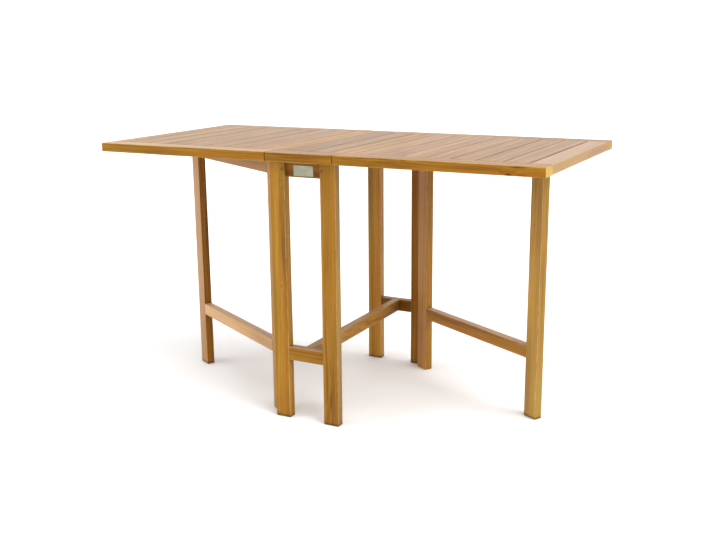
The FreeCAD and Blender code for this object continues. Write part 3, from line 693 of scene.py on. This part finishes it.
def dress(name, material):
    """Give a carried-over solid its material."""
    mesh = nodes[name].data
    mesh.materials.clear()
    mesh.materials.append(material)


random.seed(41)
boards = [name for name in sorted(nodes) if "hinge" not in name and name != "badge_plate"]
for number, name in enumerate(boards, start=1):
    # Drawn for every board, so that giving one board its own tone leaves the others alone
    drawn_tone = (random.uniform(*LIGHT_RANGE), random.uniform(*BLEACH_RANGE))
    light, bleach = TONES_AND_PAINTED_LIGHT.get(name, drawn_tone)
    pith = (
        random.choice((-1, 1)) * random.uniform(*PITH_SIDEWAYS),
        random.choice((-1, 1)) * random.uniform(*PITH_IN_DEPTH),
    )
    material = teak(
        "teak_" + name,
        grain=grain_of(name),
        centre=middle(name),
        seed=number,
        light=light,
        bleach=bleach,
        tint=TINTS_AND_SHADE_HUES.get(name, PLAIN),
        pith=pith,
        ring=random.uniform(*RING_WIDTHS_MM) * MM,
        slats=SLAT_ROWS.get(name),
        knots_and_shade=KNOTS_AND_PAINTED_SHADE.get(name, ()),
        pale_and_lit_sides=[SUNNY_AND_SHEENED_TOP] + (LIT_SLOT_SIDES if name in SLAT_ROWS else PALE_AND_LIT_SIDES.get(name, [])),
        stands=name.endswith("_leg"),
        sides=GATE_SIDES if "_gate_" in name else TABLE_SIDES,
    )
    dress(name, material)

brass = metal("brass", BRASS_BRIGHT, BRASS_DULL, BRASS_ROUGHNESS, BRASS_BRUSHING)
plate_metal = metal("brushed_plate", PLATE_BRIGHT, PLATE_DULL, PLATE_ROUGHNESS, PLATE_BRUSHING)
for name in nodes:
    if "hinge" in name:
        dress(name, brass)
dress("badge_plate", plate_metal)


# Small fasteners

def add_object(name, data):
    """A new object in the scene."""
    item = bpy.data.objects.new(name, data)
    bpy.context.scene.collection.objects.link(item)
    return item


def to_mesh(shape, name):
    bmesh.ops.recalc_face_normals(shape, faces=shape.faces)
    mesh = bpy.data.meshes.new(name)
    shape.to_mesh(mesh)
    shape.free()
    return mesh


def put_in(whole, part, matrix):
    """Move one mesh under construction into place and add it to another."""
    bmesh.ops.transform(part, matrix=matrix, verts=part.verts)
    passing = to_mesh(part, "passing")
    whole.from_mesh(passing)
    bpy.data.meshes.remove(passing)


def new_piece(name, shape, body, material):
    mesh = to_mesh(shape, name)
    mesh.materials.append(material)
    piece = add_object(name, mesh)
    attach(piece, body)
    return piece


def ring_of(shape, radius, height, sides):
    """Vertices in a ring about Z, or one alone on the axis."""
    if radius == 0:
        return [shape.verts.new((0, 0, height))]
    ring = []
    for k in range(sides):
        angle = 2 * math.pi * k / sides
        ring.append(shape.verts.new((radius * math.cos(angle), radius * math.sin(angle), height)))
    return ring


def lathe(outline, sides):
    """A surface of revolution about Z, from (radius, height) pairs."""
    shape = bmesh.new()
    rings = [ring_of(shape, radius, height, sides) for radius, height in outline]
    for low, high in zip(rings, rings[1:]):
        for k in range(sides):
            after = (k + 1) % sides
            corners = [low[k % len(low)], low[after % len(low)], high[after % len(high)], high[k % len(high)]]
            shape.faces.new(list(dict.fromkeys(corners)))
    return shape


SCREW_RADIUS = 3.5 * MM
SCREW_RISE = 0.30 * MM
SCREW_ROOT = -0.4 * MM
SCREW_TAPER = 0.9
SCREW_STEPS = 12
SLOT_HALF_WIDTH = 0.42 * MM
SLOT_FLOOR = 0.04 * MM
# The slot's floor ends inside the rim and reaches a little under the half rounds.
BED_HALF_LENGTH = SCREW_RADIUS * 0.95
BED_HALF_WIDTH = SLOT_HALF_WIDTH * 1.1


def screw_head():
    """The slotted head of a countersunk screw, just proud of Z = 0: two half rounds and the slot's floor."""
    shape = bmesh.new()
    start = math.asin(SLOT_HALF_WIDTH / SCREW_RADIUS)
    for side in (1, -1):
        foot = []
        top = []
        for k in range(SCREW_STEPS + 1):
            angle = start + (math.pi - 2 * start) * k / SCREW_STEPS
            x = SCREW_RADIUS * math.cos(angle)
            y = side * SCREW_RADIUS * math.sin(angle)
            top_y = side * max(SLOT_HALF_WIDTH, abs(y) * SCREW_TAPER)
            foot.append(shape.verts.new((x, y, SCREW_ROOT)))
            top.append(shape.verts.new((x * SCREW_TAPER, top_y, SCREW_RISE)))
        shape.faces.new(top)
        shape.faces.new(list(reversed(foot)))
        for k in range(SCREW_STEPS):
            shape.faces.new((foot[k], foot[k + 1], top[k + 1], top[k]))
        shape.faces.new((foot[0], top[0], top[-1], foot[-1]))
    bed = []
    for z in (SCREW_ROOT, SLOT_FLOOR):
        for x, y in ((-1, -1), (1, -1), (1, 1), (-1, 1)):
            bed.append(shape.verts.new((x * BED_HALF_LENGTH, y * BED_HALF_WIDTH, z)))
    shape.faces.new(bed[4:])
    shape.faces.new(list(reversed(bed[:4])))
    for k in range(4):
        after = (k + 1) % 4
        shape.faces.new((bed[k], bed[after], bed[after + 4], bed[k + 4]))
    return shape


def screws(name, body, places):
    """Screw heads as one piece. Each place is a point and an outward normal."""
    whole = bmesh.new()
    for point, normal in places:
        turned = Matrix.Rotation(random.uniform(0, math.pi), 4, "Z")
        facing = Vector(normal).to_track_quat("Z", "Y").to_matrix().to_4x4()
        put_in(whole, screw_head(), Matrix.Translation(point) @ facing @ turned)
    return new_piece(name, whole, body, brass)


SCREW_HALF_SPACING = 18 * MM

# Leaf hinges, seen from below
LEAF_PLATE_FACE = 725 * MM
LEAF_AXIS = 102 * MM
LEAF_HINGE_PLACE = 215 * MM
LEAF_SCREW_OUT = 14.5 * MM
for side, sign in (("left", -1), ("right", 1)):
    for half, body, way in (("centre", "centre", -1), ("leaf", side + "_leaf", 1)):
        places = []
        for hinge in (-1, 1):
            for end in (-1, 1):
                x = sign * (LEAF_AXIS + way * LEAF_SCREW_OUT)
                y = hinge * LEAF_HINGE_PLACE + end * SCREW_HALF_SPACING
                places.append((Vector((x, y, LEAF_PLATE_FACE)), (0, 0, -1)))
        screws(f"{side}_leaf_hinge_{half}_screws", body, places)

# Gate hinges: a plate on the leg faces the one on the stile.
GATE_AXIS = Vector((-100 * MM, -274.5 * MM, 0))
GATE_SCREW_OUT = 11.5 * MM
GATE_FACE_GAP = 0.5 * MM
GATE_HINGE_HEIGHTS = (265 * MM, 640 * MM)
for side, about in (("left", 0.0), ("right", math.pi)):
    around = Matrix.Rotation(about, 3, "Z")
    for half, body, opened, way in (("leg", "centre", 0.0, -1), ("stile", side + "_gate", GATE_OPEN, 1)):
        swing = around @ Matrix.Rotation(opened, 3, "Z")
        places = []
        for height in GATE_HINGE_HEIGHTS:
            for end in (-1, 1):
                point = around @ GATE_AXIS + swing @ Vector((GATE_SCREW_OUT, way * GATE_FACE_GAP, 0))
                point.z = height + end * SCREW_HALF_SPACING
                places.append((point, swing @ Vector((0, -way, 0))))
        screws(f"{side}_gate_hinge_{half}_screws", body, places)

# Pegs through the tenons of the top rails, with their domed ends on the outside of the legs
PEG_RADIUS = 4.5 * MM
PEG_ROOT = -3 * MM
PEG_X = 61 * MM
PEG_HEIGHT = 704.5 * MM
PEG_SIDES = 28
LEG_FACE = 300 * MM
PEG_OUTLINE = [
    (0, PEG_ROOT),
    (PEG_RADIUS, PEG_ROOT),
    (PEG_RADIUS, 0.1 * MM),
    (PEG_RADIUS * 0.94, 0.4 * MM),
    (PEG_RADIUS * 0.6, 0.55 * MM),
    (0, 0.6 * MM),
]
peg_wood = teak(
    "teak_pegs",
    grain="x",
    centre=Vector((0, 0, PEG_HEIGHT)),
    seed=77,
    light=0.62,
    bleach=0.0,
    tint=(1.0, 0.85, 0.8),
    pith=(0.01, 0.01),
    ring=3 * MM,
)
for end, way in (("near", -1), ("far", 1)):
    whole = bmesh.new()
    outwards = Matrix.Rotation(-QUARTER_TURN * way, 4, "X")
    for x in (-PEG_X, PEG_X):
        place = Matrix.Translation((x, way * LEG_FACE, PEG_HEIGHT))
        put_in(whole, lathe(PEG_OUTLINE, PEG_SIDES), place @ outwards)
    new_piece(f"{end}_pegs", whole, "centre", peg_wood)


# Studio: a pale floor that curves up into a low wall all round, soft light and the camera

FLOOR_RADIUS = 9.0
FLOOR_MIDDLE_RADIUS = 0.02
FLOOR_DROP = 0.4 * MM
FLOOR_SIDES = 96
CURVE_RADIUS = 3.0
CURVE_STEPS = 12
FLOOR_COLOUR = (0.93, 0.93, 0.93, 1)
FLOOR_ROUGHNESS = 0.9
FLOOR_SPECULAR = 0.1
outline = [(FLOOR_MIDDLE_RADIUS, -FLOOR_DROP), (FLOOR_RADIUS, -FLOOR_DROP)]
for k in range(1, CURVE_STEPS + 1):
    angle = QUARTER_TURN * k / CURVE_STEPS
    outline.append((FLOOR_RADIUS + CURVE_RADIUS * math.sin(angle), CURVE_RADIUS * (1 - math.cos(angle))))
bowl = lathe(outline, FLOOR_SIDES)
for face in bowl.faces:
    face.smooth = True
bowl.verts.ensure_lookup_table()
bowl.faces.new(bowl.verts[:FLOOR_SIDES])
bowl.normal_update()
bmesh.ops.reverse_faces(bowl, faces=[face for face in bowl.faces if face.normal.z < 0])
floor_mesh = bpy.data.meshes.new("floor")
bowl.to_mesh(floor_mesh)
bowl.free()
floor = add_object("floor", floor_mesh)
floor_paint = Material("floor")
floor_paint.shader.inputs["Base Color"].default_value = FLOOR_COLOUR
floor_paint.shader.inputs["Roughness"].default_value = FLOOR_ROUGHNESS
floor_paint.shader.inputs["Specular IOR Level"].default_value = FLOOR_SPECULAR
floor_mesh.materials.append(floor_paint.material)

# The room is bright behind the wall and darker overhead.
BRIGHT_UP_TO = math.radians(20)
DARK_FROM = math.radians(32)
OVERHEAD_LIGHT = 0.44
world = bpy.data.worlds.new("studio")
bpy.context.scene.world = world
room = Tree(world)
background = room.nodes["Background"]
background.inputs["Color"].default_value = (1, 1, 1, 1)
upwardness = room.parts(room.add("TexCoord").outputs["Generated"])["Z"]
fading = room.span(upwardness, math.sin(BRIGHT_UP_TO), math.sin(DARK_FROM), 1.0, OVERHEAD_LIGHT)
room.feed(background.inputs["Strength"], fading)


def soft_sun(name, azimuth, elevation, strength, breadth):
    """A wide distant light. Its angles are in degrees, and its azimuth goes from -Y towards +X."""
    light = bpy.data.lights.new(name, "SUN")
    light.energy = strength
    light.angle = math.radians(breadth)
    lamp = add_object(name, light)
    turn = math.radians(azimuth)
    rise = math.radians(elevation)
    towards = Vector((math.sin(turn) * math.cos(rise), -math.cos(turn) * math.cos(rise), math.sin(rise)))
    lamp.rotation_euler = (-towards).to_track_quat("-Z", "Y").to_euler()


soft_sun("key", azimuth=75, elevation=45, strength=2.6, breadth=50)
soft_sun("overhead", azimuth=0, elevation=90, strength=1.3, breadth=70)
soft_sun("fill", azimuth=-50, elevation=16, strength=1.6, breadth=50)

# The camera, fitted to the photograph. Its turns are in radians.
CAMERA_PLACE = (1.30352, -2.45985, 1.04774)
CAMERA_YAW = -0.48511
CAMERA_PITCH = -0.2393
CAMERA_ROLL = -0.0091
LENS_MM = 48.418
SENSOR_WIDTH_MM = 36.0
camera_data = bpy.data.cameras.new("camera")
camera_data.sensor_fit = "HORIZONTAL"
camera_data.sensor_width = SENSOR_WIDTH_MM
camera_data.lens = LENS_MM
camera_data.clip_start = 0.05
camera_data.clip_end = 200.0
camera = add_object("camera", camera_data)
level = math.cos(CAMERA_PITCH)
ahead = Vector((math.sin(CAMERA_YAW) * level, math.cos(CAMERA_YAW) * level, math.sin(CAMERA_PITCH)))
right = Vector((math.cos(CAMERA_YAW), -math.sin(CAMERA_YAW), 0))
up = right.cross(ahead)
rolled_right = right * math.cos(CAMERA_ROLL) + up * math.sin(CAMERA_ROLL)
rolled_up = up * math.cos(CAMERA_ROLL) - right * math.sin(CAMERA_ROLL)
axes = Matrix((rolled_right, rolled_up, -ahead)).transposed()
camera.matrix_world = Matrix.Translation(CAMERA_PLACE) @ axes.to_4x4()
bpy.context.scene.camera = camera

bpy.context.scene.view_settings.view_transform = "Standard"
bpy.context.scene.view_settings.look = "None"
